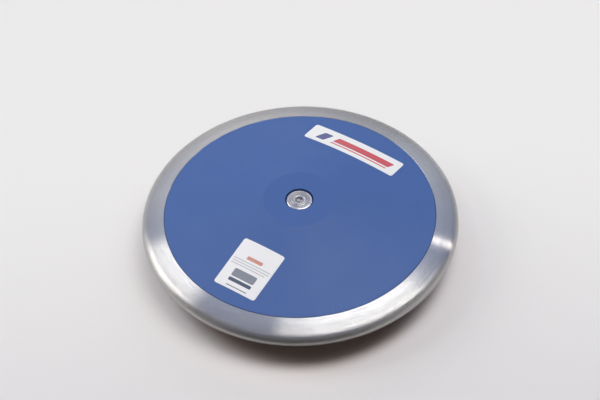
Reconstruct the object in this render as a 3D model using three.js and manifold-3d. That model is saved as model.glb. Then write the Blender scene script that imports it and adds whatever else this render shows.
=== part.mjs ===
// A two-kilogram competition discus. A turned steel rim carries two moulded side plates,
// and a bolt and a sleeve nut clamp the plates together through the centre.
// Millimetres, +Z along the spin axis, origin at the middle of the flat centre that it rests on.
import * as THREE from 'three';
import { mergeVertices } from 'three/addons/utils/BufferGeometryUtils.js';
import Module from 'manifold-3d';

const wasm = await Module();
wasm.setup();

// The outline of the whole discus
const outerDiameter = 220;
const thickness = 45;
const flatCentreDiameter = 50;
const edgeRadius = 6.25;

// The rim, and the ledge on each side of it where a side plate lies
const rimWidth = 15.8;
const rimInsideChamfer = 0.4;
const rimLedgeWidth = 10.2;
const rimBoreChamfer = 0.8;
const plateEdgeThickness = 3.4;
const plateEdgeGap = 0.15;

// The side plates
const plateWall = 3.2;
const plateCornerBreak = 0.3;
const plateSeatWidth = 6;
const collarGap = 0.2;
const collarWall = 2.4;
const collarEngagement = 3.6;
const collarLeadIn = 0.6;
const bossDiameter = 26;
const bossFloor = 5;

// The ribs inside the side plates
const ribCount = 12;
const ribThickness = 2;
const ribRoot = 1.2;
const ribMidGap = 4;
const ribSlopeLength = 19;
const ringRibPlaceShare = 0.565;
const ringRibThickness = 2;
const ringRibMidGap = 7;

// The bolt and the sleeve nut, whose heads are alike
const headDiameter = 18;
const headThickness = 3.3;
const headChamfer = 0.6;
const headSink = 0.7;
const headRecessGap = 0.8;
const socketAcrossFlats = 6;
const socketDepth = 3.6;
const socketFloor = 3;
const shankDiameter = 8;
const shankEndGap = 5.7;
const shankChamfer = 0.8;
const barrelDiameter = 11;
const barrelBoreGap = 0.15;
const barrelEndGap = 1;
const barrelOuterGap = 0.3;

// The core tube and the weights that ride on it
const coreTubeDiameter = 18;
const weightDiameter = 44;
const weightBoreGap = 0.3;
const weightChamfer = 1;
const weightStackGap = 0.3;
const weightSeatRise = 1.5;
const weightSeatWall = 3;
const weightSeatOverhang = 1;
const trimWasherThickness = 2;
const trimWasherCount = 3;

// The two labels on the upper plate
const labelThickness = 0.15;
const labelGap = 0.05;
const labelCornerRadius = 1.8;
const labelTurn = THREE.MathUtils.degToRad(-35.5);
const nameLabelLength = 73.6;
const nameLabelHeight = 17.3;
const nameLabelInset = 26.4;
const nameLabelAngle = THREE.MathUtils.degToRad(54);
const dataLabelWidth = 33;
const dataLabelHeight = 38.2;
const dataLabelInset = 28.9;
const dataLabelAngle = THREE.MathUtils.degToRad(-122.9);

// Fineness of the round surfaces, and the overrun of every cut past the face that it opens
const roundSegments = 60;
const weightSegments = 36;
const edgeSteps = 14;
const labelCornerSteps = 3;
const cutOverrun = 1;
const mergeDistance = 0.0001;

// Places that follow from the sizes above, with heights from the middle plane
const halfThickness = thickness / 2;
const flatRadius = flatCentreDiameter / 2;
const edgeCentreRadius = outerDiameter / 2 - edgeRadius;
const rimInsideRadius = outerDiameter / 2 - rimWidth;
const rimBoreRadius = rimInsideRadius - rimLedgeWidth;
const taper = sideTaper();
const ledgeHeight = sideHeight(rimInsideRadius) - plateEdgeThickness;
const headTop = halfThickness - headSink;
const headSeat = headTop - headThickness;
const sleeveBoreFloor = headTop - socketDepth - socketFloor;
const bossEnd = headSeat - bossFloor;
const headRadius = headDiameter / 2;
const shankRadius = shankDiameter / 2;
const barrelRadius = barrelDiameter / 2;
const coreBoreRadius = barrelRadius + barrelOuterGap;
const weightRadius = weightDiameter / 2;
const weightSeatHeight = bossEnd - weightSeatRise;
const weightSeatOuterRadius = weightRadius + weightSeatOverhang;
const weightSeatInnerRadius = weightSeatOuterRadius - weightSeatWall;
const collarOuterRadius = rimBoreRadius - collarGap;

const materials = {
  turnedSteel: surface(0xb4b4b2, 0.32, 1),
  zincPlatedSteel: surface(0xc2c1bb, 0.38, 1),
  blackenedSteel: surface(0x54565a, 0.55, 1),
  bluePlastic: surface(0x4f6ca5, 0.55, 0),
  whiteVinyl: surface(0xf2f0ee, 0.4, 0),
};

function surface(color, roughness, metalness) {
  return new THREE.MeshStandardMaterial({ color, roughness, metalness });
}

// The straight side leaves the rim of the flat centre and touches the round of the edge.
function sideTaper() {
  const run = edgeCentreRadius - flatRadius;
  const reach = Math.hypot(run, halfThickness);
  return Math.atan2(halfThickness, run) - Math.asin(edgeRadius / reach);
}

function sideHeight(radius) {
  return halfThickness - Math.max(0, radius - flatRadius) * Math.tan(taper);
}

function wallUnderside(radius) {
  return sideHeight(radius) - plateWall;
}

// A solid that booleans can work on, from a closed geometry with only its positions kept
function solidOf(geometry) {
  geometry.deleteAttribute('normal');
  geometry.deleteAttribute('uv');
  const merged = mergeVertices(geometry, mergeDistance);
  const corners = merged.index.array;
  const triangles = [];
  for (let i = 0; i < corners.length; i += 3) {
    const [a, b, c] = [corners[i], corners[i + 1], corners[i + 2]];
    if (a !== b && b !== c && c !== a) triangles.push(a, b, c);
  }
  return new wasm.Manifold(new wasm.Mesh({
    numProp: 3,
    vertProperties: new Float32Array(merged.attributes.position.array),
    triVerts: new Uint32Array(triangles),
  }));
}

function meshOf(name, solid, material) {
  const { vertProperties, triVerts } = solid.getMesh();
  const geometry = new THREE.BufferGeometry();
  geometry.setAttribute('position', new THREE.BufferAttribute(new Float32Array(vertProperties), 3));
  geometry.setIndex(new THREE.BufferAttribute(new Uint32Array(triVerts), 1));
  geometry.computeVertexNormals();
  const mesh = new THREE.Mesh(geometry, material);
  mesh.name = name;
  return mesh;
}

function vectorsOf(points) {
  return points.map(([radius, height]) => new THREE.Vector2(radius, height));
}

// Turns a profile of [radius, height] points, listed anticlockwise, about the spin axis.
// A profile that starts off the axis is a ring's section and closes on itself.
function revolve(profile, segments = roundSegments) {
  const points = vectorsOf(profile);
  if (points[0].x > 0) points.push(points[0].clone());
  return solidOf(new THREE.LatheGeometry(points, segments).rotateX(Math.PI / 2));
}

// Mirrors a profile in the middle plane, with its points in the order that a full section needs.
function mirrored(profile) {
  return profile.map(([radius, height]) => [radius, -height]).reverse();
}

// A flat web standing in the plane through the spin axis at an angle, from an outline of
// [radius, height] points
function radialWeb(outline, webThickness, angle) {
  const shape = new THREE.Shape(vectorsOf(outline));
  const web = new THREE.ExtrudeGeometry(shape, { depth: webThickness, bevelEnabled: false });
  web.translate(0, 0, -webThickness / 2);
  return solidOf(web.rotateX(Math.PI / 2).rotateZ(angle));
}

// Ring of steel with a rounded edge, tapered faces, and a ledge on each side for a plate
function rim() {
  const edgeArc = [];
  const arcEnd = Math.PI / 2 - taper;
  for (let i = 0; i <= edgeSteps; i += 1) {
    const angle = -arcEnd + (2 * arcEnd * i) / edgeSteps;
    const radius = edgeCentreRadius + edgeRadius * Math.cos(angle);
    edgeArc.push([radius, edgeRadius * Math.sin(angle)]);
  }
  const chamferTop = sideHeight(rimInsideRadius + rimInsideChamfer);
  const upperInside = [
    [rimInsideRadius + rimInsideChamfer, chamferTop],
    [rimInsideRadius, chamferTop - rimInsideChamfer],
    [rimInsideRadius, ledgeHeight],
    [rimBoreRadius + rimBoreChamfer, ledgeHeight],
    [rimBoreRadius, ledgeHeight - rimBoreChamfer],
  ];
  const section = revolve([...edgeArc, ...upperInside, ...mirrored(upperInside)]);
  return meshOf('rim', section, materials.turnedSteel);
}

// Section of a side plate: the tapered wall with its edge land, the locating collar,
// the ring rib, the seat of the weights and the boss with the recess of the screw head
function plateSection() {
  const edge = rimInsideRadius - plateEdgeGap;
  const landInside = edge - plateSeatWidth;
  const collarInside = collarOuterRadius - collarWall;
  const collarEnd = ledgeHeight - collarEngagement;
  const ringMiddle = THREE.MathUtils.lerp(weightSeatOuterRadius, collarInside, ringRibPlaceShare);
  const ringInside = ringMiddle - ringRibThickness / 2;
  const ringOutside = ringMiddle + ringRibThickness / 2;
  const recess = headRadius + headRecessGap;
  const boss = bossDiameter / 2;
  return [
    [edge, ledgeHeight],
    [edge, sideHeight(edge) - plateCornerBreak],
    [edge - plateCornerBreak, sideHeight(edge - plateCornerBreak)],
    [flatRadius, halfThickness],
    [recess + plateCornerBreak, halfThickness],
    [recess, halfThickness - plateCornerBreak],
    [recess, headSeat],
    [coreBoreRadius, headSeat],
    [coreBoreRadius, bossEnd],
    [boss, bossEnd],
    [boss, wallUnderside(boss)],
    [weightSeatInnerRadius, wallUnderside(weightSeatInnerRadius)],
    [weightSeatInnerRadius, weightSeatHeight],
    [weightSeatOuterRadius, weightSeatHeight],
    [weightSeatOuterRadius, wallUnderside(weightSeatOuterRadius)],
    [flatRadius, wallUnderside(flatRadius)],
    [ringInside, wallUnderside(ringInside)],
    [ringInside, ringRibMidGap],
    [ringOutside, ringRibMidGap],
    [ringOutside, wallUnderside(ringOutside)],
    [collarInside, wallUnderside(collarInside)],
    [collarInside, collarEnd],
    [collarOuterRadius - collarLeadIn, collarEnd],
    [collarOuterRadius, collarEnd + collarLeadIn],
    [collarOuterRadius, wallUnderside(collarOuterRadius)],
    [landInside, wallUnderside(landInside)],
    [landInside, ledgeHeight],
  ];
}

// A radial rib runs from the boss to the collar, rooted in both and in the wall above it.
// It dips past the seat of the weights to its full depth.
function plateRib(angle) {
  const inner = bossDiameter / 2 - ribRoot;
  const outer = collarOuterRadius - ribRoot;
  const rootHeight = (radius) => sideHeight(radius) - plateWall / 2;
  const weightSeatMiddle = (weightSeatInnerRadius + weightSeatOuterRadius) / 2;
  return radialWeb([
    [inner, bossEnd],
    [weightSeatMiddle, bossEnd],
    [weightSeatOuterRadius, weightSeatHeight],
    [weightSeatOuterRadius + ribSlopeLength, ribMidGap],
    [outer, ribMidGap],
    [outer, rootHeight(outer)],
    [flatRadius, rootHeight(flatRadius)],
    [inner, rootHeight(inner)],
  ], ribThickness, angle);
}

function sidePlate(name) {
  let plate = revolve(plateSection());
  for (let i = 0; i < ribCount; i += 1) {
    plate = plate.add(plateRib((2 * Math.PI * i) / ribCount));
  }
  return meshOf(name, plate, materials.bluePlastic);
}

// Points of a screw head, from the outside of its seat to the axis
function headOutline() {
  return [
    [headRadius, headSeat],
    [headRadius, headTop - headChamfer],
    [headRadius - headChamfer, headTop],
    [0, headTop],
  ];
}

// The hexagon that a key turns, from past the top of the head down to the socket's floor
function hexSocket() {
  const height = socketDepth + cutOverrun;
  const cornerRadius = socketAcrossFlats / Math.sqrt(3);
  const prism = new THREE.CylinderGeometry(cornerRadius, cornerRadius, height, 6);
  return solidOf(prism.rotateX(Math.PI / 2).translate(0, 0, headTop - socketDepth + height / 2));
}

// The shank ends short of the floor of the nut's bore, which the nut has above its own socket.
function centreBolt() {
  const shankEnd = shankEndGap - sleeveBoreFloor;
  const body = revolve([
    [0, shankEnd],
    [shankRadius - shankChamfer, shankEnd],
    [shankRadius, shankEnd + shankChamfer],
    [shankRadius, headSeat],
    ...headOutline(),
  ]);
  return meshOf('centre_bolt', body.subtract(hexSocket()), materials.zincPlatedSteel);
}

// The nut is drawn head up, as the bolt is, and turned over where the group is put together.
function sleeveNut() {
  const boreRadius = shankRadius + barrelBoreGap;
  const barrelEnd = barrelEndGap - headSeat;
  const body = revolve([
    [0, sleeveBoreFloor],
    [boreRadius, sleeveBoreFloor],
    [boreRadius, barrelEnd],
    [barrelRadius, barrelEnd],
    [barrelRadius, headSeat],
    ...headOutline(),
  ]);
  return meshOf('sleeve_nut', body.subtract(hexSocket()), materials.zincPlatedSteel);
}

function coreTube() {
  const section = [
    [coreTubeDiameter / 2, -bossEnd],
    [coreTubeDiameter / 2, bossEnd],
    [coreBoreRadius, bossEnd],
    [coreBoreRadius, -bossEnd],
  ];
  return meshOf('core_tube', revolve(section, weightSegments), materials.blackenedSteel);
}

// A flat ring on the core tube, from the [radius, height] points of its outer face, listed upwards
function weightRing(name, outerFace) {
  const bore = coreTubeDiameter / 2 + weightBoreGap;
  const [, bottom] = outerFace[0];
  const [, top] = outerFace[outerFace.length - 1];
  const section = [...outerFace, [bore, top], [bore, bottom]];
  return meshOf(name, revolve(section, weightSegments), materials.blackenedSteel);
}

// The ballast ring stands on the lower plate's seat, and the trim washers lie on it.
function weightStack() {
  const bottom = -weightSeatHeight;
  const ballastTop = weightSeatHeight - weightStackGap - trimWasherCount * trimWasherThickness;
  const stack = [weightRing('ballast_ring', [
    [weightRadius - weightChamfer, bottom],
    [weightRadius, bottom + weightChamfer],
    [weightRadius, ballastTop - weightChamfer],
    [weightRadius - weightChamfer, ballastTop],
  ])];
  for (let i = 0; i < trimWasherCount; i += 1) {
    const washerBottom = ballastTop + i * trimWasherThickness;
    stack.push(weightRing(`trim_washer_${i + 1}`, [
      [weightRadius, washerBottom],
      [weightRadius, washerBottom + trimWasherThickness],
    ]));
  }
  return stack;
}

function roundedRectangle(width, height, radius) {
  const shape = new THREE.Shape();
  const right = width / 2 - radius;
  const top = height / 2 - radius;
  shape.absarc(right, top, radius, 0, Math.PI / 2);
  shape.absarc(-right, top, radius, Math.PI / 2, Math.PI);
  shape.absarc(-right, -top, radius, Math.PI, 1.5 * Math.PI);
  shape.absarc(right, -top, radius, 1.5 * Math.PI, 2 * Math.PI);
  return shape;
}

// A label is the part of a thin conical skin over the plate that lies within its outline.
// Its middle lies inset from the rim, at an angle about the spin axis.
function label(name, width, height, inset, angle) {
  const skinBottom = (radius) => sideHeight(radius) + labelGap;
  const skinTop = (radius) => skinBottom(radius) + labelThickness;
  const skin = revolve([
    [rimInsideRadius, skinBottom(rimInsideRadius)],
    [rimInsideRadius, skinTop(rimInsideRadius)],
    [flatRadius, skinTop(flatRadius)],
    [flatRadius, skinBottom(flatRadius)],
  ]);
  const outline = new THREE.ExtrudeGeometry(roundedRectangle(width, height, labelCornerRadius), {
    depth: thickness,
    bevelEnabled: false,
    curveSegments: labelCornerSteps,
  });
  const centreX = (rimInsideRadius - inset) * Math.cos(angle);
  const centreY = (rimInsideRadius - inset) * Math.sin(angle);
  outline.rotateZ(labelTurn).translate(centreX, centreY, 0);
  return meshOf(name, skin.intersect(solidOf(outline)), materials.whiteVinyl);
}

function turnedOver(mesh) {
  mesh.rotation.x = Math.PI;
  return mesh;
}

const discus = new THREE.Group();
discus.position.z = halfThickness;
discus.add(
  rim(),
  sidePlate('upper_side_plate'),
  turnedOver(sidePlate('lower_side_plate')),
  centreBolt(),
  turnedOver(sleeveNut()),
  coreTube(),
  ...weightStack(),
  label('name_label', nameLabelLength, nameLabelHeight, nameLabelInset, nameLabelAngle),
  label('data_label', dataLabelWidth, dataLabelHeight, dataLabelInset, dataLabelAngle),
);

export default discus;
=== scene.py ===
# A two-kilogram competition discus in a plain studio: a turned steel rim, moulded blue side
# plates, a zinc-plated bolt and nut, blackened weights inside and two plain printed labels.
# Sizes are in millimetres and become metres where a mesh is made. Heights count from the
# middle plane of the discus.
import math
from functools import partial

import bmesh
import bpy
import numpy as np
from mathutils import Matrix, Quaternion, Vector


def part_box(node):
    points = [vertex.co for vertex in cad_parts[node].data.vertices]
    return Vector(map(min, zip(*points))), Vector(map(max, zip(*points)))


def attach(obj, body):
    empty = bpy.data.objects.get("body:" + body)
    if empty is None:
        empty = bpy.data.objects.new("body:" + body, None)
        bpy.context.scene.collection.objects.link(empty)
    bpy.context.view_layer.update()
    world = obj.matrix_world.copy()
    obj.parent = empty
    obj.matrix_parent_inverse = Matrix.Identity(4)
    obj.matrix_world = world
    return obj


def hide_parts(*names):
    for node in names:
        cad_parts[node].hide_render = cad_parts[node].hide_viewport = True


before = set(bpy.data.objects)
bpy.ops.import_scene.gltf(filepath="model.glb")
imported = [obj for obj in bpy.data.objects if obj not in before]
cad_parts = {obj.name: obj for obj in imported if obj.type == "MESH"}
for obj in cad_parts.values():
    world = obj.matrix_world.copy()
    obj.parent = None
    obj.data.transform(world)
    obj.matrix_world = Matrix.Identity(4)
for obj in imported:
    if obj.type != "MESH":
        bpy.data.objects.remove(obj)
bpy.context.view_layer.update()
scene = bpy.context.scene
mm = 0.001

# The outline that all pieces share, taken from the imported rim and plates
rimLow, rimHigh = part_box("rim")
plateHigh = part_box("upper_side_plate")[1]
outline = {
    "outerRadius": rimHigh.x / mm,
    "plateRadius": plateHigh.x / mm,
    "midHeight": (rimLow.z + rimHigh.z) / 2 / mm,
    "halfThickness": (plateHigh.z - (rimLow.z + rimHigh.z) / 2) / mm,
    "flatRadius": 25.0,
    "edgeRadius": 6.25,
    "plateEdgeThickness": 3.4,
    "plateGap": 0.06,
}
outline["edgeCentre"] = outline["outerRadius"] - outline["edgeRadius"]
outline["rimInside"] = outline["plateRadius"] + outline["plateGap"]


def sideTaper():
    # Slope of the straight side that leaves the flat centre and touches the round edge
    run = outline["edgeCentre"] - outline["flatRadius"]
    reach = math.hypot(run, outline["halfThickness"])
    return math.atan2(outline["halfThickness"], run) - math.asin(outline["edgeRadius"] / reach)


def sideHeight(radius):
    # Height of the upper side: level up to the flat radius, then a straight fall
    beyond = np.maximum(0, np.asarray(radius, float) - outline["flatRadius"])
    return outline["halfThickness"] - beyond * math.tan(sideTaper())


outline["ledgeHeight"] = float(sideHeight(outline["rimInside"])) - outline["plateEdgeThickness"]

# Steps of a rounding, how far its support points stand off as shares of the rounding and of
# the side, the distances of merging, and the angle at which an edge stays sharp
meshing = {
    "arcSteps": 5, "supportRounding": 0.6, "supportSide": 0.04,
    "mergeReach": 0.002, "sliverReach": 0.0005, "sharpDegrees": 32,
}


def roundedProfile(corners, closed=True):
    # Each corner (radius, height, rounding) becomes an arc that touches both of its sides,
    # starting and ending rounding * tan(turn / 2) away from it. A support point stands just
    # outside each end, so that the flat beside the arc keeps its own normal.
    place, rounding = np.array(corners, float)[:, :2], np.array(corners, float)[:, 2]
    before, after = np.roll(place, 1, 0), np.roll(place, -1, 0)
    if not closed:
        before[0] = 2 * place[0] - place[1]
        after[-1] = 2 * place[-1] - place[-2]
    lengthIn = np.linalg.norm(place - before, axis=1)
    lengthOut = np.linalg.norm(after - place, axis=1)
    arrive = (place - before) / lengthIn[:, None]
    leave = (after - place) / lengthOut[:, None]
    cross = arrive[:, 0] * leave[:, 1] - arrive[:, 1] * leave[:, 0]
    turn = np.arctan2(cross, (arrive * leave).sum(1))
    start = place - arrive * (rounding * np.tan(np.abs(turn) / 2))[:, None]
    inward = np.stack([-arrive[:, 1], arrive[:, 0]], 1) * np.sign(turn)[:, None]
    centre = start + inward * rounding[:, None]
    swing = turn[:, None] * np.linspace(0, 1, meshing["arcSteps"] + 1)[None, :]
    spoke = (start - centre)[:, None, :]
    arc = centre[:, None, :] + np.stack([
        spoke[..., 0] * np.cos(swing) - spoke[..., 1] * np.sin(swing),
        spoke[..., 0] * np.sin(swing) + spoke[..., 1] * np.cos(swing),
    ], -1)
    supportIn, supportOut = (
        np.minimum(meshing["supportRounding"] * rounding, meshing["supportSide"] * length)[:, None]
        * way for length, way in ((lengthIn, arrive), (lengthOut, leave)))
    return np.concatenate([
        (arc[:, 0] - supportIn)[:, None], arc, (arc[:, -1] + supportOut)[:, None],
    ], 1).reshape(-1, 2)


def fullTurn(steps):
    return np.linspace(0, 2 * np.pi, steps, endpoint=False)


def turnedPoints(radius, height, angle):
    # Radii and heights carried round the spin axis: (r cos a, r sin a, h)
    return np.stack([radius * np.cos(angle), radius * np.sin(angle), height + 0 * angle], -1)


def gridFaces(rows, columns, rowsClose, columnsClose):
    # Four corners for each cell of a grid whose last row or column may join the first
    index = np.arange(rows * columns).reshape(rows, columns)
    if rowsClose:
        index = np.vstack([index, index[:1]])
    if columnsClose:
        index = np.hstack([index, index[:, :1]])
    corners = index[:-1, :-1], index[:-1, 1:], index[1:, 1:], index[1:, :-1]
    return np.stack(corners, -1).reshape(-1, 4)


def newObject(name, mesh):
    made = bpy.data.objects.new(name, mesh)
    scene.collection.objects.link(made)
    return made


def makePiece(name, points, faces, over=False, sheet=None, sharpDegrees=meshing["sharpDegrees"]):
    # Points in millimetres from the middle plane become a closed, smooth mesh in metres, and
    # a piece of the lower side is turned over
    flat = points.reshape(-1, 3) * np.array([1, -1, -1] if over else [1, 1, 1])
    flat = flat + np.array([0, 0, outline["midHeight"]])
    mesh = bpy.data.meshes.new(name)
    mesh.from_pydata((flat * mm).tolist(), [], faces.tolist())
    if sheet is not None:
        corner = np.zeros(len(mesh.loops), np.int32)
        mesh.loops.foreach_get("vertex_index", corner)
        layer = mesh.uv_layers.new(name="sheet")
        layer.data.foreach_set("uv", sheet.reshape(-1, 2)[corner].astype(np.float32).ravel())
    tidyMesh(mesh, sharpDegrees)
    return newObject(name, mesh)


def tidyMesh(mesh, sharpDegrees=meshing["sharpDegrees"]):
    work = bmesh.new()
    work.from_mesh(mesh)
    bmesh.ops.remove_doubles(work, verts=work.verts, dist=meshing["mergeReach"] * mm)
    bmesh.ops.dissolve_degenerate(work, edges=work.edges, dist=meshing["sliverReach"] * mm)
    bmesh.ops.recalc_face_normals(work, faces=work.faces)
    work.to_mesh(mesh)
    work.free()
    mesh.shade_smooth()
    mesh.set_sharp_from_angle(angle=math.radians(sharpDegrees))


def turnedPiece(name, profile, segments, over=False):
    points = turnedPoints(profile[:, :1], profile[:, 1:], fullTurn(segments))
    return makePiece(name, points, gridFaces(len(profile), segments, True, True), over)


def joinSolids(piece, other):
    # One closed skin from two solids that run into each other
    union = piece.modifiers.new("joined", "BOOLEAN")
    union.operation, union.solver, union.object = "UNION", "MANIFOLD", other
    graph = bpy.context.evaluated_depsgraph_get()
    joined = bpy.data.meshes.new_from_object(piece.evaluated_get(graph))
    piece.modifiers.clear()
    piece.data = joined
    bpy.data.objects.remove(other)
    tidyMesh(joined)
    return piece


def dress(piece, material, node):
    # Every piece rides on the one body, stands for its node and takes its slot's finish
    piece.data.materials.clear()
    piece.data.materials.append(material)
    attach(piece, "root")
    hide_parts(node)
    print("piece", piece.name, len(piece.data.polygons), "faces")


def makeNode(kind, inputs, tree=None, **settings):
    # A node in the given tree, or in that of its first linked input. Each input is linked to
    # a socket or given a value, a colour by its red, green and blue.
    if tree is None:
        tree = next(value.id_data for value in inputs.values()
                    if isinstance(value, bpy.types.NodeSocket))
    node = tree.nodes.new("ShaderNode" + kind)
    for key, value in settings.items():
        setattr(node, key, value)
    for key, value in inputs.items():
        socket = node.inputs[key]
        if isinstance(value, bpy.types.NodeSocket):
            tree.links.new(value, socket)
        else:
            socket.default_value = (*value, 1.0) if socket.type == "RGBA" else value
    return node


def feed(sockets, values):
    for title, value in values.items():
        value.id_data.links.new(value, sockets[title])


def sums(operation, first, second=0.0):
    return makeNode("Math", {0: first, 1: second}, operation=operation).outputs[0]


times, plus, minus, ratio, greater = (partial(sums, operation) for operation in (
    "MULTIPLY", "ADD", "SUBTRACT", "DIVIDE", "MAXIMUM"))


def spanOf(x, y):
    # Length of the way (x, y): the root of x * x + y * y
    return sums("SQRT", plus(times(x, x), times(y, y)))


def vectorSums(operation, *given, scale=1.0):
    node = makeNode("VectorMath", {**dict(enumerate(given)), 3: scale}, operation=operation)
    return node.outputs["Value" if operation == "LENGTH" else "Vector"]


def axesOf(place):
    return makeNode("SeparateXYZ", {0: place}).outputs


def fromAxes(x, y, z):
    return makeNode("CombineXYZ", {0: x, 1: y, 2: z}).outputs[0]


def spread(value, fromLow, fromHigh, toLow=0.0, toHigh=1.0):
    # A smooth step of a value from one range to another
    return makeNode("MapRange", {
        "Value": value, "From Min": fromLow, "From Max": fromHigh,
        "To Min": toLow, "To Max": toHigh,
    }, interpolation_type="SMOOTHSTEP").outputs[0]


def blendColours(share, first, second, way="MIX"):
    return makeNode("Mix", {0: share, 6: first, 7: second},
                    data_type="RGBA", blend_type=way).outputs[2]


def noise(place, scale, detail=2.0, roughness=0.5, distortion=0.0):
    return makeNode("TexNoise", {
        "Vector": place, "Scale": scale, "Detail": detail, "Roughness": roughness,
        "Distortion": distortion,
    }).outputs[0]


def cells(place, scale, feature="F1"):
    return makeNode("TexVoronoi", {"Vector": place, "Scale": scale}, feature=feature).outputs


def objectPlace(tree):
    return makeNode("TexCoord", {}, tree).outputs["Object"]


def millimetrePlace(tree):
    return vectorSums("SCALE", objectPlace(tree), scale=1 / mm)


def effectGroup(name, inputs, results):
    # A node group from its inputs' values and its results' names: Normal alone is a vector
    tree = bpy.data.node_groups.new(name, "ShaderNodeTree")
    for title, value in inputs.items():
        kind = "NodeSocketVector" if isinstance(value, tuple) else "NodeSocketFloat"
        tree.interface.new_socket(title, in_out="INPUT", socket_type=kind).default_value = value
    for title in results:
        kind = "NodeSocketVector" if title == "Normal" else "NodeSocketFloat"
        tree.interface.new_socket(title, in_out="OUTPUT", socket_type=kind)
    given = tree.nodes.new("NodeGroupInput").outputs
    result = tree.nodes.new("NodeGroupOutput").inputs
    return tree, given, result


def placeEffect(tree, group, given):
    return makeNode("Group", given, tree, node_tree=group).outputs


noiseSpan = (0.3, 0.7)  # where the values of a noise mostly lie


def makeTurnedGrain(driftScale):
    # Rings left by the tool: noise read on radius, height and a slow noise that lets the cut
    # wander. They lean the normal only across themselves, along the cross product of the way
    # round the axis with the normal, so that a lamp becomes a streak towards the hub.
    tree, given, result = effectGroup("turnedGrain", {
        "Fine Pitch": 0.12, "Coarse Pitch": 0.9, "Wander": 0.3, "Fine Lean": 0.5,
        "Coarse Lean": 0.05,
    }, ("Normal", "Tone", "Radius"))
    place = objectPlace(tree)
    x, y, z = axesOf(place)
    radius = times(spanOf(x, y), 1 / mm)
    drift = times(noise(place, driftScale, 1.0), given["Wander"])
    ringPlace = fromAxes(radius, times(z, 1 / mm), drift)
    fine = noise(ringPlace, ratio(1.0, given["Fine Pitch"]), 2.0, 0.6)
    coarse = noise(ringPlace, ratio(1.0, given["Coarse Pitch"]), 3.0, 0.55)
    lean = plus(times(minus(fine, 0.5), given["Fine Lean"]),
                times(minus(coarse, 0.5), given["Coarse Lean"]))
    facing = makeNode("NewGeometry", {}, tree).outputs["Normal"]
    wayRound = vectorSums("NORMALIZE", fromAxes(times(y, -1.0), x, 0.0))
    acrossRings = vectorSums("CROSS_PRODUCT", wayRound, facing)
    leaning = vectorSums("SCALE", acrossRings, scale=lean)
    feed(result, {
        "Normal": vectorSums("NORMALIZE", vectorSums("ADD", facing, leaning)),
        "Tone": spread(coarse, *noiseSpan), "Radius": radius,
    })
    return tree


def makeMouldedGrain(softShare, toneScale):
    # The fine spark-eroded texture of a mould: rounded cells with a soft noise over them
    tree, given, result = effectGroup("mouldedGrain", {"Grain Size": 0.45}, ("Height", "Tone"))
    place = millimetrePlace(tree)
    scale = ratio(1.0, given["Grain Size"])
    grains = cells(place, scale, "SMOOTH_F1")["Distance"]
    soft = noise(place, times(scale, softShare), 3.0, 0.6)
    feed(result, {"Height": plus(grains, soft), "Tone": noise(place, toneScale, 3.0, 0.5)})
    return tree


markPattern = {
    "scuffs": ((0.6, (900.0, 22.0, 30.0)), (-1.1, (22.0, 1100.0, 30.0))),
    "scuffCut": (0.70, 0.78), "sparseScale": 30.0, "sparseCut": (0.5, 0.66),
    "smudgeScale": 22.0, "smudgeCut": (0.45, 0.75),
    "speckScale": 420.0, "speckSize": (0.13, 0.06), "speckCut": (0.82, 0.86),
}


def makeHandlingMarks(marks):
    # Sparse hairline scuffs in two directions, slow smudges and specks: noise, stretched for
    # the scuffs, and cut off high
    tree, given, result = effectGroup(
        "handlingMarks", {"Amount": 0.5}, ("Scuff", "Smudge", "Speck"))
    place = objectPlace(tree)
    masks = []
    for turn, stretch in marks["scuffs"]:
        laid = makeNode("Mapping", {
            "Vector": place, "Rotation": (0.0, 0.0, turn), "Scale": stretch,
        }).outputs[0]
        masks.append(spread(noise(laid, 1.0, 1.0, 0.5, 0.4), *marks["scuffCut"]))
    sparse = spread(noise(place, marks["sparseScale"]), *marks["sparseCut"])
    smudge = noise(place, marks["smudgeScale"], 3.0, 0.55, 0.6)
    dots = cells(place, marks["speckScale"])
    speck = times(spread(dots["Distance"], *marks["speckSize"]),
                  spread(dots["Color"], *marks["speckCut"]))
    found = {"Scuff": times(greater(*masks), sparse), "Speck": speck,
             "Smudge": spread(smudge, *marks["smudgeCut"])}
    feed(result, {title: times(mask, given["Amount"]) for title, mask in found.items()})
    return tree


def makePlatingMottle():
    # Cloudy patches of an oxide or a plating bath, with a fine crystal grain in them
    tree, given, result = effectGroup("platingMottle", {
        "Patch Size": 2.5, "Crystal Size": 0.25}, ("Patch", "Crystal"))
    place = millimetrePlace(tree)
    patch = noise(place, ratio(1.0, given["Patch Size"]), 4.0, 0.6, 0.3)
    feed(result, {
        "Patch": spread(patch, *noiseSpan),
        "Crystal": cells(place, ratio(1.0, given["Crystal Size"]))["Color"],
    })
    return tree


def makePrintedBar():
    # Mask of a bar with round corners on a flat sheet: one inside, falling to zero at its
    # edge, from the distance to the bar's outline. A slant leans it like italics.
    tree, given, result = effectGroup("printedBar", {
        "Sheet": (0.0, 0.0, 0.0), "Centre": (0.0, 0.0, 0.0), "Half Size": (1.0, 1.0, 0.0),
        "Corner": 0.4, "Slant": 0.0, "Softness": 0.06,
    }, ("Mask",))
    x, y = axesOf(vectorSums("SUBTRACT", given["Sheet"], given["Centre"]))[:2]
    halves = axesOf(given["Half Size"])
    upright = minus(x, times(y, given["Slant"]))
    overX, overY = (
        plus(minus(sums("ABSOLUTE", value), half), given["Corner"])
        for value, half in ((upright, halves[0]), (y, halves[1])))
    outside = spanOf(greater(overX, 0.0), greater(overY, 0.0))
    inside = sums("MINIMUM", greater(overX, overY), 0.0)
    distance = minus(plus(outside, inside), given["Corner"])
    feed(result, {"Mask": spread(ratio(distance, given["Softness"]), 1.0, -1.0)})
    return tree


turnedGrain = makeTurnedGrain(driftScale=14.0)
mouldedGrain = makeMouldedGrain(softShare=0.5, toneScale=0.045)
handlingMarks = makeHandlingMarks(markPattern)
platingMottle, printedBar = makePlatingMottle(), makePrintedBar()


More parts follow.
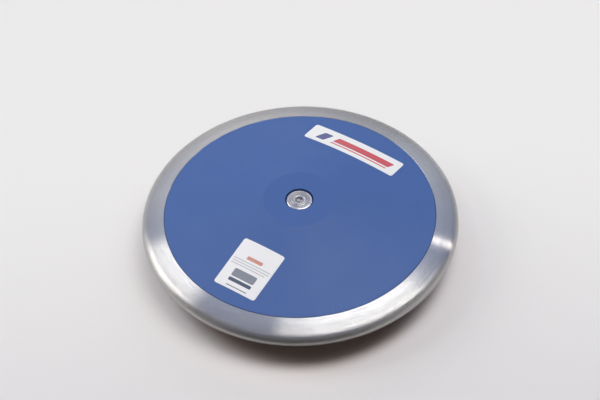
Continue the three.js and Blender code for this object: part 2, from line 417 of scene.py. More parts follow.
def startMaterial(name, values):
    # A material with its Principled shader, whose plain values go on the shader's own sockets
    material = bpy.data.materials.new(name)
    material.use_nodes = True
    tree = material.node_tree
    tree.nodes.clear()
    shader = makeNode("BsdfPrincipled", values, tree)
    output = tree.nodes.new("ShaderNodeOutputMaterial")
    tree.links.new(shader.outputs[0], output.inputs["Surface"])
    return material, tree, shader.inputs


def bumped(height, depth, under=None):
    # The bump of a height, its depth in millimetres, over the normal under it, if any
    given = {"Distance": depth * mm, "Height": height}
    if under is not None:
        given["Normal"] = under
    return makeNode("Bump", given).outputs[0]


metalWear = {"scuff": 0.5, "tone": 0.5, "crystal": 0.25, "smudge": 0.25}


def turnedMetal(name, finish):
    # Bare or plated metal off a lathe. The grain spreads the shine across the rings, so the
    # tangent runs round the axis and is turned by a quarter.
    material, tree, shader = startMaterial(name, {
        "Metallic": 1.0, "Anisotropic": finish["anisotropic"], "Anisotropic Rotation": 0.25,
    })
    grain = placeEffect(tree, turnedGrain, finish["grain"])
    marks = placeEffect(tree, handlingMarks, {"Amount": finish["marks"]})
    mottle = placeEffect(tree, platingMottle, finish["mottle"])
    tint = blendColours(times(grain["Tone"], finish["ringContrast"]),
                        finish["bright"], finish["dull"])
    tint = blendColours(times(mottle["Patch"], finish["patchContrast"]), tint, finish["patchTint"])
    # Darker and warmer towards the rim's outer edge; darker near the axis of the bolt and nut, in
    # the socket
    if "darkerRadii" in finish:  # a darker tint comes in from the first radius to the second
        darkening = spread(grain["Radius"], *finish["darkerRadii"])
        tint = blendColours(darkening, tint, finish["darkerTint"], "MULTIPLY")
    uneven = plus(times(grain["Tone"], metalWear["tone"]),
                  times(mottle["Crystal"], metalWear["crystal"]))
    smeared = plus(uneven, times(marks["Smudge"], metalWear["smudge"]))
    height = minus(times(mottle["Crystal"], finish["crystalRelief"]), marks["Scuff"])
    feed(shader, {
        "Base Color": blendColours(times(marks["Scuff"], metalWear["scuff"]), tint,
                                   finish["bright"]),
        "Roughness": spread(smeared, 0.0, 1.0, *finish["roughness"]),
        "Tangent": makeNode("Tangent", {}, tree, direction_type="RADIAL", axis="Z").outputs[0],
        "Normal": bumped(height, finish["reliefDepth"], grain["Normal"]),
    })
    return material


def mouldedPlastic(name, finish):
    material, tree, shader = startMaterial(name, {"IOR": finish["ior"]})
    grain = placeEffect(tree, mouldedGrain, {"Grain Size": finish["grainSize"]})
    marks = placeEffect(tree, handlingMarks, {"Amount": finish["marks"]})
    body = blendColours(grain["Tone"], finish["colour"], finish["paler"])
    scuffed = blendColours(times(marks["Scuff"], finish["scuffShare"]), body, finish["scuffTint"])
    wear = plus(times(grain["Tone"], finish["toneWear"]),
                times(marks["Smudge"], finish["smudgeWear"]))
    low, high = finish["roughness"]
    feed(shader, {
        "Base Color": blendColours(times(marks["Speck"], finish["dustShare"]),
                                   scuffed, finish["dustTint"]),
        "Roughness": spread(wear, *finish["wearSpan"], high, low),
        "Normal": bumped(minus(grain["Height"], marks["Scuff"]), finish["grainDepth"]),
    })
    return material


def printedVinyl(name, finish, label):
    # White vinyl whose plain printed bars are laid by their places on the sheet in
    # millimetres from its middle, read from the piece's own UV map
    length, height = label["size"]
    material, tree, shader = startMaterial(name, {
        "IOR": finish["ior"], "Coat Weight": finish["coat"],
        "Coat Roughness": finish["coatRoughness"],
    })
    uv = makeNode("UVMap", {}, tree, uv_map="sheet").outputs[0]
    sheet = makeNode("Mapping", {
        "Vector": uv, "Location": (-length / 2, -height / 2, 0.0), "Scale": (length, height, 1.0),
    }).outputs[0]
    grain = placeEffect(tree, mouldedGrain, {"Grain Size": finish["grainSize"]})
    marks = placeEffect(tree, handlingMarks, {"Amount": finish["marks"]})
    face = blendColours(grain["Tone"], label["white"], label["paler"])
    inked = 0.0
    for centre, (long, high), corner, slant, ink, cover in label["bars"]:
        mask = placeEffect(tree, printedBar, {
            "Sheet": sheet, "Centre": (*centre, 0.0), "Half Size": (long / 2, high / 2, 0.0),
            "Corner": corner, "Slant": slant, "Softness": finish["inkSoftness"],
        })[0]
        face = blendColours(times(mask, cover), face, ink)
        inked = greater(inked, mask)
    uneven = plus(times(grain["Tone"], finish["toneWear"]), times(inked, finish["inkWear"]))
    relief = plus(grain["Height"], times(inked, finish["inkStep"]))
    feed(shader, {
        "Base Color": blendColours(times(marks["Smudge"], finish["smudgeShare"]),
                                   face, finish["smudgeTint"]),
        "Roughness": spread(uneven, 0.0, 1.0, *finish["roughness"]),
        "Normal": bumped(relief, finish["grainDepth"]),
    })
    return material


rimTurning = {
    "segments": 384, "edgeSteps": 48, "insideChamfer": 0.4, "ledgeWidth": 10.2,
    "boreChamfer": 0.8, "cornerRounding": 0.06, "ledgeRounding": 0.25, "edgeSupport": 0.4,
}
rimFinish = {
    "bright": (0.58, 0.58, 0.585), "dull": (0.505, 0.505, 0.515), "ringContrast": 0.4,
    # Darker, warmer tint towards the outer edge
    "patchTint": (0.525, 0.525, 0.52), "patchContrast": 0.25, "darkerRadii": (95.5, 106.4),
    "darkerTint": (0.86, 0.845, 0.825), "crystalRelief": 0.0, "roughness": (0.15, 0.2),
    "anisotropic": 1.0, "marks": 0.4, "reliefDepth": 0.006,
    "grain": {"Fine Pitch": 0.015, "Coarse Pitch": 0.9, "Wander": 0.3, "Fine Lean": 2.1,
              "Coarse Lean": 0.02},
    "mottle": {"Patch Size": 9.0, "Crystal Size": 0.3},
}


def makeRim(shape):
    # Closed section: the round edge, then the tapered face, chamfer, ledge and bore of the
    # upper half and the same mirrored for the lower half
    arcEnd = math.pi / 2 - sideTaper()
    angle = np.linspace(-arcEnd, arcEnd, shape["edgeSteps"] + 1)
    edgeArc = outline["edgeRadius"] * np.stack([np.cos(angle), np.sin(angle)], 1)
    edgeArc[:, 0] += outline["edgeCentre"]
    inside, ledge = outline["rimInside"], outline["ledgeHeight"]
    bore = inside - shape["ledgeWidth"]
    chamferTop = float(sideHeight(inside + shape["insideChamfer"]))
    fine, soft = shape["cornerRounding"], shape["ledgeRounding"]
    along = np.array([-math.cos(sideTaper()), math.sin(sideTaper())])
    upper = [
        (*(edgeArc[-1] + along * shape["edgeSupport"]), 0.0),
        (inside + shape["insideChamfer"], chamferTop, fine),
        (inside, chamferTop - shape["insideChamfer"], fine),
        (inside, ledge, soft),
        (bore + shape["boreChamfer"], ledge, soft),
        (bore, ledge - shape["boreChamfer"], soft),
    ]
    lower = [(radius, -height, rounding) for radius, height, rounding in reversed(upper)]
    inner = roundedProfile(upper + lower, closed=False)
    return turnedPiece("rimTurned", np.vstack([edgeArc, inner]), shape["segments"])


dress(makeRim(rimTurning), turnedMetal("turnedSteelFinish", rimFinish), "rim")


plateMoulding = {
    "segments": 288, "wall": 3.2, "seatWidth": 6.0, "collarOuter": 83.8, "collarWall": 2.4,
    "collarEngagement": 3.6, "collarLeadIn": 0.6, "boss": 13.0, "bossEnd": 13.5,
    "recess": 9.75, "recessFloor": 18.5, "coreBore": 5.8, "weightSeat": (20.0, 23.0),
    "weightSeatHeight": 12.0, "ringRib": (55.0, 57.0), "ringRibHeight": 7.0,
    "roundings": (
        0.25, 0.25, 6.0,  # plate edge below and above, flat centre
        0.2, 0.3, 0.25,  # recess mouth and floor, mouth of the core bore
        0.25, 0.4, 0.8,  # boss end inside and outside, boss root
        0.6, 0.3, 0.4, 0.6, 1.0,  # weight seat, and the wall under the flat centre's edge
        0.6, 0.5, 0.5, 0.6,  # ring rib
        0.8, 0.3, 0.2, 0.2, 0.4,  # collar
        0.4, 0.3,  # land on the rim's ledge
    ),
}
ribMoulding = {
    "count": 12, "inner": 11.8, "outer": 82.6, "rootWidth": 2.3, "tipWidth": 1.8,
    "tipRounding": 0.5, "lengthSteps": 90, "arcSteps": 4,
    "tipPath": ((11.8, 13.5), (21.5, 13.5), (23.0, 12.0), (42.0, 4.0), (82.6, 4.0)),
}
plateFinish = {
    "colour": (0.036, 0.109, 0.357), "paler": (0.043, 0.119, 0.371),
    "scuffTint": (0.2, 0.28, 0.45), "scuffShare": 0.35, "dustTint": (0.5, 0.5, 0.5),
    "dustShare": 0.3, "ior": 1.53, "roughness": (0.36, 0.5), "toneWear": 0.6,
    "smudgeWear": 0.8, "wearSpan": (0.1, 0.9), "grainSize": 0.4, "grainDepth": 0.012,
    "marks": 0.35,
}


def makePlateShell(name, shape, over):
    # The tapered wall with its edge land, collar, ring rib, weight seat, boss and recess
    def under(radius):
        return radius, float(sideHeight(radius)) - shape["wall"]

    edge, ledge = outline["plateRadius"], outline["ledgeHeight"]
    flat, top = outline["flatRadius"], outline["halfThickness"]
    recess, recessFloor, boss = shape["recess"], shape["recessFloor"], shape["boss"]
    bore, bossEnd = shape["coreBore"], shape["bossEnd"]
    seatInner, seatOuter = shape["weightSeat"]
    seatTop, ringTop = shape["weightSeatHeight"], shape["ringRibHeight"]
    ringInner, ringOuter = shape["ringRib"]
    collar, leadIn = shape["collarOuter"], shape["collarLeadIn"]
    collarInside, collarEnd = collar - shape["collarWall"], ledge - shape["collarEngagement"]
    landInside = edge - shape["seatWidth"]
    places = [
        (edge, ledge), (edge, float(sideHeight(edge))), (flat, top),
        (recess, top), (recess, recessFloor), (bore, recessFloor),
        (bore, bossEnd), (boss, bossEnd), under(boss),
        under(seatInner), (seatInner, seatTop), (seatOuter, seatTop), under(seatOuter),
        under(flat),
        under(ringInner), (ringInner, ringTop), (ringOuter, ringTop), under(ringOuter),
        under(collarInside), (collarInside, collarEnd), (collar - leadIn, collarEnd),
        (collar, collarEnd + leadIn), under(collar),
        under(landInside), (landInside, ledge),
    ]
    corners = [(*place, rounding) for place, rounding in zip(places, shape["roundings"])]
    return turnedPiece(name, roundedProfile(corners), shape["segments"], over)


def makeRibs(name, shape, over):
    # Each rib is its cross-section carried along a radius. The section is a tongue that
    # narrows from root to tip and has round corners there; its tip follows tipPath, its root
    # stays in the middle of the wall, and it closes to a line at both ends.
    pathRadii, pathHeights = np.array(shape["tipPath"]).T
    radius = np.linspace(shape["inner"], shape["outer"], shape["lengthSteps"])
    radius = np.sort(np.concatenate([radius, pathRadii[1:-1]]))
    tip = np.interp(radius, pathRadii, pathHeights)
    root = sideHeight(radius) - plateMoulding["wall"] / 2
    bend = np.linspace(0, np.pi / 2, shape["arcSteps"] + 1)
    rounding = shape["tipRounding"]
    side = np.concatenate([[shape["rootWidth"] / 2],
                           shape["tipWidth"] / 2 - rounding + rounding * np.cos(bend)])
    share = np.concatenate([[1.0], np.zeros(len(bend))])
    lift = np.concatenate([[0.0], rounding * (1 - np.sin(bend))])
    side, share, lift = (np.concatenate([half, way * half[::-1]])
                         for half, way in ((side, -1), (share, 1), (lift, 1)))
    heights = tip[:, None] + share * (root - tip)[:, None] + lift
    heights = np.vstack([heights[:1], heights, heights[-1:]])
    sides = np.vstack([0 * side, np.tile(side, (len(radius), 1)), 0 * side])
    radii = np.concatenate([radius[:1], radius, radius[-1:]])[:, None] + 0 * side
    turn = fullTurn(shape["count"])[:, None, None]
    points = np.stack([
        radii * np.cos(turn) - sides * np.sin(turn),
        radii * np.sin(turn) + sides * np.cos(turn),
        heights + 0 * turn,
    ], -1)
    rows, columns = radii.shape
    firstPoints = np.arange(shape["count"])[:, None, None] * rows * columns
    faces = (gridFaces(rows, columns, False, True) + firstPoints).reshape(-1, 4)
    return makePiece(name, points, faces, over)


plasticFinish = mouldedPlastic("mouldedBlueFinish", plateFinish)
for pieceName, nodeName, over in (("upperPlateMoulded", "upper_side_plate", False),
                                  ("lowerPlateMoulded", "lower_side_plate", True)):
    shell = makePlateShell(pieceName, plateMoulding, over)
    plate = joinSolids(shell, makeRibs("ribs", ribMoulding, over))
    dress(plate, plasticFinish, nodeName)


screwHead = {
    "segments": 144, "radius": 9.0, "top": 21.7, "seat": 18.5, "chamferWidth": 0.6,
    "chamferDepth": 0.37, "rounding": 0.25, "neckRounding": 0.3, "flats": 5.0,
    "socketDepth": 1.7, "cornerShare": 1.13, "drillDepth": 0.06, "drillLip": 0.04,
    "floorShares": (0.84, 0.88, 0.985), "wallFoot": (0.06, 0.15), "wallTop": 1.1,
    "coneFoot": 0.95, "countersink": 2.9, "wallSteps": 10, "sharpDegrees": 28,
}
boltShank = {
    "radius": 4.0, "end": -9.5, "chamfer": 0.8, "tipRounding": 0.1, "pitch": 1.25,
    "threadDepth": 0.62, "crest": 0.1, "flank": 0.78, "threadTop": 8.0, "runOut": 1.5,
    "endRunOut": 0.3, "stepsPerPitch": 12,
}
nutBarrel = {
    "radius": 5.5, "end": -17.5, "endRounding": 0.25, "boreRadius": 4.15, "boreFloor": 15.2,
    "mouthChamfer": 0.3, "mouthRounding": 0.05, "floorRelief": 0.4, "floorRounding": 0.2,
    "mouthRunOut": 1.2, "floorRunOut": 2.5,
}
zincFinish = {
    "bright": (0.76, 0.745, 0.75), "dull": (0.43, 0.42, 0.425), "ringContrast": 1.0,
    # Darker tint near the axis, in the socket
    "patchTint": (0.57, 0.555, 0.52), "patchContrast": 0.3, "darkerRadii": (2.5, 2.2),
    "darkerTint": (0.63, 0.63, 0.63), "crystalRelief": 0.3, "roughness": (0.21, 0.3),
    "anisotropic": 0.6, "marks": 0.6, "reliefDepth": 0.008,
    "grain": {"Fine Pitch": 0.14, "Coarse Pitch": 1.6, "Wander": 0.8, "Fine Lean": 0.5,
              "Coarse Lean": 1.15},
    "mottle": {"Patch Size": 1.6, "Crystal Size": 0.2},
}


def hexRadius(angle, halfFlats, cornerShare):
    # Distance from the axis to a hexagon's side at an angle, with its corners eased
    fromFlat = (angle + np.pi / 6) % (np.pi / 3) - np.pi / 6
    return np.minimum(halfFlats / np.cos(fromFlat), halfFlats * cornerShare)


def socketRows(head, angle):
    # Rows from the drilled point on the axis up the six walls to the round countersink:
    # each wall row is the larger of the hexagon and the cone at that height
    top, half = head["top"], head["flats"] / 2
    floor = top - head["socketDepth"]
    footLow, footHigh = head["wallFoot"]
    lipShare, floorShare, wallShare = head["floorShares"]
    hexagon = hexRadius(angle, half, head["cornerShare"])
    height = np.concatenate([
        [floor - head["drillDepth"], floor - head["drillLip"], floor, floor, floor + footLow],
        np.linspace(floor + footHigh, top - head["wallTop"], head["wallSteps"]),
        np.linspace(top - head["coneFoot"], top, head["wallSteps"]),
    ])
    radius = np.tile(hexagon, (len(height), 1))
    radius[0], radius[1], radius[2] = 0, half * lipShare, half * floorShare
    radius[3] = hexagon * wallShare
    cone = head["countersink"] - (top - height[5:])[:, None]
    radius[5:] = np.maximum(radius[5:], cone)
    return radius, height[:, None] + 0 * angle


def headProfile(head):
    # From the countersink's edge out over the head's face, chamfer and side to its seat
    top, seat, radius, rounding = head["top"], head["seat"], head["radius"], head["rounding"]
    return [
        (head["countersink"], top, 0.0), (radius - head["chamferWidth"], top, rounding),
        (radius, top - head["chamferDepth"], rounding), (radius, seat, rounding),
    ]


def threadDip(angle, height, depth, shank):
    # A single-start thread: a triangle wave of height over pitch less one turn of the angle,
    # with its crest and root cut flat
    phase = (height / shank["pitch"] - angle / (2 * np.pi)) % 1.0
    wave = np.abs(2 * phase - 1)
    return depth * np.clip((wave - shank["crest"]) / shank["flank"], 0, 1)


def roundRows(corners, angle):
    profile = roundedProfile(corners, closed=False)
    return profile[:, :1] + 0 * angle, profile[:, 1:] + 0 * angle


def threadRows(angle, shank, start, end, radius, runStart, runEnd):
    # Level rows down the thread, whose depth grows and fades over its two run-outs
    steps = int(abs(start - end) / shank["pitch"] * shank["stepsPerPitch"])
    height = np.linspace(start, end, steps)[:, None] + 0 * angle
    share = np.minimum(np.abs(height - start) / runStart, np.abs(height - end) / runEnd)
    depth = shank["threadDepth"] * np.clip(share, 0, 1)
    return radius - threadDip(angle, height, depth, shank), height


def screwPiece(name, head, shank, over, outside, thread, inside):
    # The head that bolt and nut share, the profile from there to the thread, the thread from
    # one height to another with its two run-outs, and the profile from there to the axis
    angle = fullTurn(head["segments"])
    rows = (socketRows(head, angle), roundRows(headProfile(head) + outside, angle),
            threadRows(angle, shank, *thread), roundRows(inside, angle))
    radius, height = (np.vstack(part) for part in zip(*rows))
    faces = gridFaces(*radius.shape, False, True)
    return makePiece(name, turnedPoints(radius, height, angle), faces, over,
                     sharpDegrees=head["sharpDegrees"])


def makeBolt(name, head, shank):
    radius, end, top = shank["radius"], shank["end"], shank["threadTop"]
    threadEnd = end + shank["chamfer"]
    return screwPiece(name, head, shank, False, [
        (radius, head["seat"], head["neckRounding"]), (radius, top, 0.0),
    ], (top, threadEnd, radius, shank["runOut"], shank["endRunOut"]), [
        (radius, threadEnd, 0.0), (radius - shank["chamfer"], end, shank["tipRounding"]),
        (0.0, end, 0.0),
    ])


def makeNut(name, head, shank, barrel):
    radius, end, bore = barrel["radius"], barrel["end"], barrel["boreRadius"]
    chamfer, floor = barrel["mouthChamfer"], barrel["boreFloor"]
    threadEnd = floor - barrel["floorRelief"]
    return screwPiece(name, head, shank, True, [
        (radius, head["seat"], head["neckRounding"]), (radius, end, barrel["endRounding"]),
        (bore + chamfer, end, barrel["mouthRounding"]), (bore, end + chamfer, 0.0),
    ], (end + chamfer, threadEnd, bore, barrel["mouthRunOut"], barrel["floorRunOut"]), [
        (bore, threadEnd, 0.0), (bore, floor, barrel["floorRounding"]), (0.0, floor, 0.0),
    ])


zincPlating = turnedMetal("zincPlatedFinish", zincFinish)
dress(makeBolt("boltZinc", screwHead, boltShank), zincPlating, "centre_bolt")
dress(makeNut("nutZinc", screwHead, boltShank, nutBarrel), zincPlating, "sleeve_nut")


# Edges are the roundings below and above: a punched washer is rolled over at the top
coreTube = {"segments": 160, "radii": (5.8, 9.0), "ends": (-13.5, 13.5), "edges": (0.4, 0.4)}
ballastRing = {"segments": 160, "radii": (9.3, 22.0), "ends": (-12.0, 5.7), "edges": (1.0, 1.0)}
trimWasher = {
    "segments": 160, "radii": (9.3, 22.0), "edges": (0.08, 0.45), "count": 3, "thickness": 2.0,
    "gap": 0.01,
}
darkFinish = {
    "bright": (0.13, 0.133, 0.14), "dull": (0.065, 0.068, 0.074), "ringContrast": 0.7,
    "patchTint": (0.11, 0.085, 0.07), "patchContrast": 0.5, "crystalRelief": 0.6,
    "roughness": (0.42, 0.62), "anisotropic": 0.5, "marks": 0.8, "reliefDepth": 0.02,
    "grain": {"Fine Pitch": 0.2, "Coarse Pitch": 1.1, "Wander": 0.3, "Fine Lean": 0.5,
              "Coarse Lean": 0.2},
    "mottle": {"Patch Size": 5.0, "Crystal Size": 0.4},
}


def makeWeight(name, node, ring, bottom, top):
    # A flat ring from one height to another
    (inner, outer), (lowerEdge, upperEdge) = ring["radii"], ring["edges"]
    profile = roundedProfile([
        (outer, bottom, lowerEdge), (outer, top, upperEdge),
        (inner, top, upperEdge), (inner, bottom, lowerEdge),
    ])
    dress(turnedPiece(name, profile, ring["segments"]), blackening, node)


blackening = turnedMetal("blackenedSteelFinish", darkFinish)
makeWeight("coreTubeTurned", "core_tube", coreTube, *coreTube["ends"])
makeWeight("ballastRingTurned", "ballast_ring", ballastRing, *ballastRing["ends"])
for index in range(trimWasher["count"]):
    bottom = ballastRing["ends"][1] + index * trimWasher["thickness"]
    makeWeight(f"trimWasher{index + 1}", f"trim_washer_{index + 1}", trimWasher, bottom,
               bottom + trimWasher["thickness"] - trimWasher["gap"])


labelCutting = {
    "thickness": 0.15, "gap": 0.03, "corner": 1.8, "turn": -35.5, "edgeRound": 0.12,
    "edgeInsets": (0.0, 0.015, 0.045, 0.09, 0.15), "cornerSteps": 12, "columnSteps": 44,
    "rowSteps": 18,
}
redInk, blueInk, navyInk = (0.6, 0.035, 0.06), (0.05, 0.06, 0.26), (0.02, 0.045, 0.12)
greyInk, salmonInk = (0.36, 0.36, 0.42), (0.66, 0.27, 0.2)
# Every bar: centre, length and height, rounding of the corners, slant, ink, cover of the ink
nameLabel = {
    "size": (73.6, 17.3), "white": (0.915, 0.92, 0.925), "paler": (0.885, 0.895, 0.905),
    "bars": (
        ((8.0, 0.35), (46.0, 5.6), 0.7, 0.45, redInk, 0.94),
        ((6.2, -4.3), (46.0, 1.1), 0.3, 0.45, redInk, 0.94),
        ((-24.2, -0.9), (7.0, 8.4), 0.9, 0.45, blueInk, 0.94),
    ),
}
dataLabel = {
    "size": (33.0, 38.2), "white": (0.95, 0.955, 0.98), "paler": (0.925, 0.93, 0.96),
    "bars": (
        ((0.0, 6.6), (12.4, 2.6), 0.7, 0.0, salmonInk, 0.94),
        ((0.0, 3.2), (29.6, 0.7), 0.2, 0.0, greyInk, 0.6),
        ((0.0, 1.3), (29.0, 0.7), 0.2, 0.0, greyInk, 0.6),
        ((-1.0, -0.6), (27.0, 0.7), 0.2, 0.0, greyInk, 0.6),
        ((0.2, -6.6), (18.0, 6.2), 1.2, 0.0, navyInk, 0.75),
        ((0.2, -12.2), (18.0, 2.6), 0.8, 0.0, navyInk, 0.94),
        ((0.4, -16.8), (16.5, 0.8), 0.2, 0.0, navyInk, 0.7),
    ),
}
vinylFinish = {
    "ior": 1.46, "coat": 0.3, "coatRoughness": 0.2, "roughness": (0.34, 0.46), "toneWear": 0.7,
    "inkWear": 0.3, "inkStep": 2.0, "inkSoftness": 0.09, "grainSize": 0.7, "grainDepth": 0.003,
    "marks": 0.4, "smudgeShare": 0.12, "smudgeTint": (0.55, 0.55, 0.55),
}


def makeLabel(name, label, node, cut):
    # Rows lie across the label's height and columns along its length. A row reaches as far as
    # the round corner lets it, half length - corner + sqrt(corner^2 - rise^2). The upper skin
    # lies on the plate's cone, rounds down to the lower skin at the border and closes there.
    low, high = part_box(node)
    centreX, centreY = (low.x + high.x) / 2 / mm, (low.y + high.y) / 2 / mm
    length, height = label["size"]
    corner, insets = cut["corner"], np.array(cut["edgeInsets"])

    def halfSteps(half, steps):
        bend = np.linspace(0, np.pi / 2, cut["cornerSteps"])[1:-1]
        near = np.concatenate([insets, corner * (1 - np.cos(bend)) + insets[-1]])
        place = half - np.concatenate([near[near < corner], np.linspace(corner, half, steps)])
        return np.unique(np.round(np.concatenate([-place, place]), 5))

    across = halfSteps(height / 2, cut["rowSteps"])
    along = halfSteps(length / 2, cut["columnSteps"]) / (length / 2)
    rise = np.maximum(np.abs(across) - (height / 2 - corner), 0)
    reach = length / 2 - corner + np.sqrt(np.maximum(corner ** 2 - rise ** 2, 0))
    x, y = along[None, :] * reach[:, None], across[:, None] + 0 * along
    overX, overY = np.abs(x) - (length / 2 - corner), np.abs(y) - (height / 2 - corner)
    outside = np.hypot(np.maximum(overX, 0), np.maximum(overY, 0))
    border = corner - outside - np.minimum(np.maximum(overX, overY), 0)
    border[0], border[-1], border[:, 0], border[:, -1] = 0, 0, 0, 0
    rounded = np.clip(border / cut["edgeRound"], 0, 1)
    lift = cut["thickness"] * np.sqrt(np.maximum(1 - (1 - rounded) ** 2, 0))
    turn = math.radians(cut["turn"])
    worldX = centreX + x * math.cos(turn) - y * math.sin(turn)
    worldY = centreY + x * math.sin(turn) + y * math.cos(turn)
    base = sideHeight(np.hypot(worldX, worldY)) + cut["gap"]
    points = np.stack([np.stack([worldX, worldY, skin], -1) for skin in (base + lift, base)])
    upper = gridFaces(*x.shape, False, False)
    faces = np.vstack([upper, upper[:, ::-1] + x.size])
    sheet = np.stack([x / length + 0.5, y / height + 0.5], -1)
    return makePiece(name, points, faces, sheet=np.stack([sheet, sheet]))


for pieceName, label, nodeName in (("nameLabelVinyl", nameLabel, "name_label"),
                                   ("dataLabelVinyl", dataLabel, "data_label")):
    vinyl = printedVinyl(pieceName + "Finish", vinylFinish, label)
    dress(makeLabel(pieceName, label, nodeName, labelCutting), vinyl, nodeName)


# The paper in metres, with painted shading in its colour: a painted fall-off that darkens it
# towards the camera, painted light that pales it beside the discus and a painted shadow that
# darkens it below. Each painted patch is a stretched and shifted circle that fades between two
# radii in millimetres
floorSettings = {
    "half": 9.0, "roughness": 0.7, "nearFade": (-0.46, 0.11), "sideLean": 0.045,
    # Painted shade: paper colour near the camera and far from it, darker towards the camera
    "paintedFalloffNearAndFar": ((0.625, 0.603, 0.63), (0.93, 0.921, 0.911)),
    "cloudScale": 3.0, "cloudShare": 0.03, "cloudTint": (0.7, 0.69, 0.69),
    "paintedLightAndShadow": {
        # Painted light: paler paper beside the discus, lifting its shadow there
        "paintedLightBeside": {"stretch": (1.0, 1.0, 1.0), "shift": (-3.7, 8.0, 0.0),
                   "fade": (136.0, 98.0), "tint": (1.23, 1.188, 1.2)},
        # Painted shadow: darker, warmer paper under the discus, deepening its contact shadow
        "under": {"stretch": (1.1, 0.915, 1.0), "shift": (-2.5, -8.0, 0.0),
                  "fade": (117.4, 99.2), "tint": (0.365, 0.288, 0.234)},
    },
}
roomLevels = {
    "overhead": (0.25, 0.32, 0.57), "near": (0.165, 0.16, 0.156),
    "farWall": ((-0.3, (0.825, 0.845, 0.91)), (-0.25, (0.81, 0.815, 0.87)),
                (-0.2, (0.95, 0.94, 0.95)), (-0.1, (0.9, 0.885, 0.885)),
                (0.14, (0.55, 0.555, 0.585)), (0.23, (0.565, 0.585, 0.63)),
                (0.3, (0.6, 0.665, 0.77))),
    "nearSeen": ((0.34, 0.335, 0.335), (0.2, 0.225, 0.34)), "nearRise": (0.4, 0.82),
    "horizon": (0.76, 0.745, 0.735), "farFade": (0.3, 0.95), "nearFade": (0.6, 0.0),
    "horizonFade": (0.2, 0.08), "panelFade": (0.08, 0.2), "turnPoint": (0.0, 0.678),
}
# Each panel is a sector of the sky round roomLevels["turnPoint"], seen from straight above:
# two angles in degrees, their softness, two distances, their softness, radiance and tint
lightPanels = {
    "nearPanel": ((-100.5, -40.5), (3.5, 5.0), (0.41, 0.83), (0.115, 0.14), 2.76,
                  (1.0, 0.982, 0.945)),
    "keyPanel": ((-89.5, -37.5), (8.0, 17.0), (0.6, 0.82), (0.07, 0.05), 5.9, (1.0, 0.982, 0.95)),
    "leftPanel": ((-167.6, -137.0), (4.0, 5.5), (0.395, 1.05), (0.15, 0.05), 3.05,
                  (1.0, 0.985, 0.96)),
    "farLeftPanel": ((-174.0, -101.0), (4.0, 5.0), (0.71, 0.83), (0.06, 0.04), 2.0,
                     (1.0, 0.995, 0.98)),
    "stripPanel": ((-18.9, -16.2), (0.5, 0.5), (0.2, 0.8), (0.05, 0.1), 3.75, (1.0, 0.94, 0.92)),
    "stripEnd": ((-19.3, -16.7), (0.7, 0.5), (0.83, 0.97), (0.04, 0.05), 3.4, (1.0, 0.95, 0.935)),
}
darkCurtain = {
    "radius": 1.1, "height": 0.25, "from": -205.0, "to": 52.0, "steps": 60, "footNear": 0.128,
    "footSide": 1.1, "footLean": 0.16, "lift": 0.0006, "colour": (0.12, 0.115, 0.115),
    "leftAndRight": ((0.85, 0.83, 0.83), (0.49, 0.475, 0.485)), "sidesMeet": (-0.1, 0.1),
    "sideFade": (0.36, 1.08), "sideShift": 0.14,
    "weaveScale": 60.0, "weaveShare": 0.2, "weaveTint": (0.1, 0.1, 0.1),
}
cameraSettings = {
    "place": (0.0, -1.04088, 1.17264), "target": (0.00043, 0.01946, 0.02274),
    "roll": -2.2344, "lens": 133.751, "sensor": 36.0, "clip": (0.05, 60.0),
}


def makeSheet(name, points, faces, material):
    mesh = bpy.data.meshes.new(name)
    mesh.from_pydata(points, [], faces)
    mesh.materials.append(material)
    return newObject(name, mesh)


def radiusFrom(place, stretch, shift):
    # Distance from the middle in millimetres, on a place stretched along the axes and shifted
    perMetre = [share / mm for share in stretch]
    return vectorSums("LENGTH", vectorSums("MULTIPLY_ADD", place, perMetre, shift))


def makeFloor(look):
    # Paper under the discus, with painted shade that darkens it towards the camera and the painted
    # light and shadow round the discus
    half = look["half"]
    material, tree, shader = startMaterial("studioPaperWithPaintedShading", {
        "Roughness": look["roughness"], "Specular IOR Level": 0.0,
    })
    place = objectPlace(tree)
    x, y = axesOf(place)[:2]
    # Painted shade: the paper darkens towards the camera, leaning a little to one side
    depth = minus(y, times(x, look["sideLean"]))
    paper = blendColours(spread(depth, *look["nearFade"]), *look["paintedFalloffNearAndFar"])
    cloud = times(noise(place, look["cloudScale"]), look["cloudShare"])
    paper = blendColours(cloud, paper, look["cloudTint"])
    # Painted light beside the discus and a painted shadow under it, multiplied into the paper
    for shade in look["paintedLightAndShadow"].values():
        radius = radiusFrom(place, shade["stretch"], shade["shift"])
        paper = blendColours(spread(radius, *shade["fade"]), paper, shade["tint"], "MULTIPLY")
    feed(shader, {"Base Color": paper})
    makeSheet("studioFloor", [
        (-half, -half, 0), (half, -half, 0), (half, half, 0), (-half, half, 0),
    ], [(0, 1, 2, 3)], material)


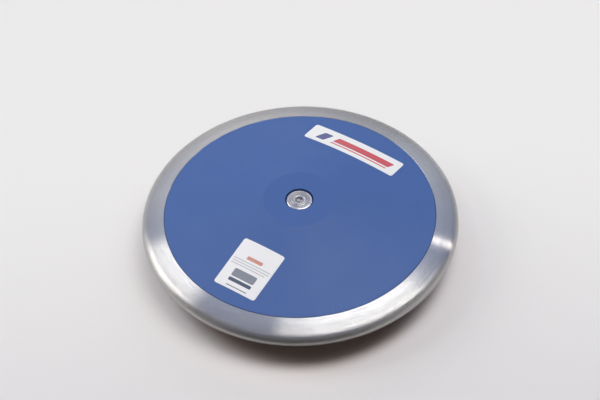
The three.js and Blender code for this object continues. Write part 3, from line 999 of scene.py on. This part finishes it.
def makeCurtain(look):
    # A dark cloth round the camera's side that only reflections see, as a photographer hangs
    # it: an upright band of a circle with a foot lying on the floor in front of the discus
    material, tree, shader = startMaterial("darkCloth", {
        "Roughness": 1.0, "Specular IOR Level": 0.1,
    })
    place = objectPlace(tree)
    aside = axesOf(place)[0]
    sides = blendColours(spread(aside, *look["sidesMeet"]), *look["leftAndRight"])
    apart = sums("ABSOLUTE", plus(aside, look["sideShift"]))
    cloth = blendColours(spread(apart, *look["sideFade"]), look["colour"], sides)
    weave = times(noise(place, look["weaveScale"]), look["weaveShare"])
    feed(shader, {"Base Color": blendColours(weave, cloth, look["weaveTint"])})
    angle = np.radians(np.linspace(look["from"], look["to"], look["steps"]))
    band = look["radius"] * np.stack([np.cos(angle), np.sin(angle)], 1)
    lift, side, near = look["lift"], look["footSide"], -look["footNear"]
    foot = [(-side, -side, lift), (side, -side, lift), (side, near, lift), (0.0, near, lift),
            (-side, near + side * look["footLean"], lift)]
    points = np.vstack([
        *(np.column_stack([band, np.full(len(band), level)])
          for level in (look["height"], lift)), foot,
    ])
    faces = gridFaces(2, len(band), False, False).tolist()
    faces.append([2 * len(band) + corner for corner in range(len(foot))])
    curtain = makeSheet("darkCurtain", points.tolist(), faces, material)
    curtain.visible_camera = curtain.visible_diffuse = curtain.visible_shadow = False


def colourSteps(value, steps):
    # A colour ramp whose stops are given as (value, colour), the first and last kept beyond
    low, high = steps[0][0], steps[-1][0]
    share = makeNode("MapRange", {"Value": value, "From Min": low, "From Max": high}).outputs[0]
    node = makeNode("ValToRGB", {0: share})
    stops = node.color_ramp.elements
    while len(stops) < len(steps):
        stops.new(0.5)
    for stop, (place, shade) in zip(stops, steps):
        stop.position, stop.color = (place - low) / (high - low), (*shade, 1.0)
    return node.outputs[0]


def makeRoom(levels, panels):
    # By direction: grey-blue overhead, a far wall pale to the left and grey to the right, a
    # side behind the camera that looks brighter than it lights, a pale horizon, and the panels
    world = bpy.data.worlds.new("studioRoom")
    scene.world = world
    world.use_nodes = True
    tree = world.node_tree
    tree.nodes.clear()
    x, y, z = axesOf(makeNode("TexCoord", {}, tree).outputs["Generated"])
    farWall = colourSteps(x, levels["farWall"])
    room = blendColours(spread(y, *levels["farFade"]), levels["overhead"], farWall)
    nearSeen = blendColours(spread(z, *levels["nearRise"]), *levels["nearSeen"])
    path = makeNode("LightPath", {}, tree).outputs
    seen = greater(path["Is Camera Ray"],
                   greater(path["Is Glossy Ray"], path["Is Transmission Ray"]))
    nearSide = blendColours(seen, levels["near"], nearSeen)
    room = blendColours(spread(y, *levels["nearFade"]), room, nearSide)
    room = blendColours(spread(z, *levels["horizonFade"]), room, levels["horizon"])
    fromX, fromY = (minus(*pair) for pair in zip((x, y), levels["turnPoint"]))
    angle, reach = sums("ARCTAN2", fromY, fromX), spanOf(fromX, fromY)
    above = spread(z, *levels["panelFade"])
    for angles, angleSoft, distances, distanceSoft, radiance, tint in panels.values():
        mask = above
        for value, ends, softness in ((angle, np.radians(angles), np.radians(angleSoft)),
                                      (reach, distances, distanceSoft)):
            for end, soft, side in zip(ends, softness, (1, -1)):
                step = spread(value, float(end - side * soft), float(end + side * soft))
                mask = times(mask, step)
        room = blendColours(mask, room, (np.array(tint) * radiance).tolist())
    background = makeNode("Background", {"Color": room, "Strength": 1.0})
    output = tree.nodes.new("ShaderNodeOutputWorld")
    tree.links.new(background.outputs[0], output.inputs["Surface"])


def placeCamera(settings):
    camera = bpy.data.cameras.new("studioCamera")
    camera.sensor_width, camera.lens = settings["sensor"], settings["lens"]
    camera.clip_start, camera.clip_end = settings["clip"]
    cameraObject = newObject("studioCamera", camera)
    place, target = Vector(settings["place"]), Vector(settings["target"])
    roll = Quaternion((0.0, 0.0, 1.0), math.radians(settings["roll"]))
    cameraObject.rotation_mode = "QUATERNION"
    cameraObject.rotation_quaternion = (target - place).to_track_quat("-Z", "Y") @ roll
    cameraObject.location = place
    scene.camera = cameraObject


makeFloor(floorSettings)
makeCurtain(darkCurtain)
makeRoom(roomLevels, lightPanels)
placeCamera(cameraSettings)
scene.view_settings.view_transform = "Standard"
print("studio ready")
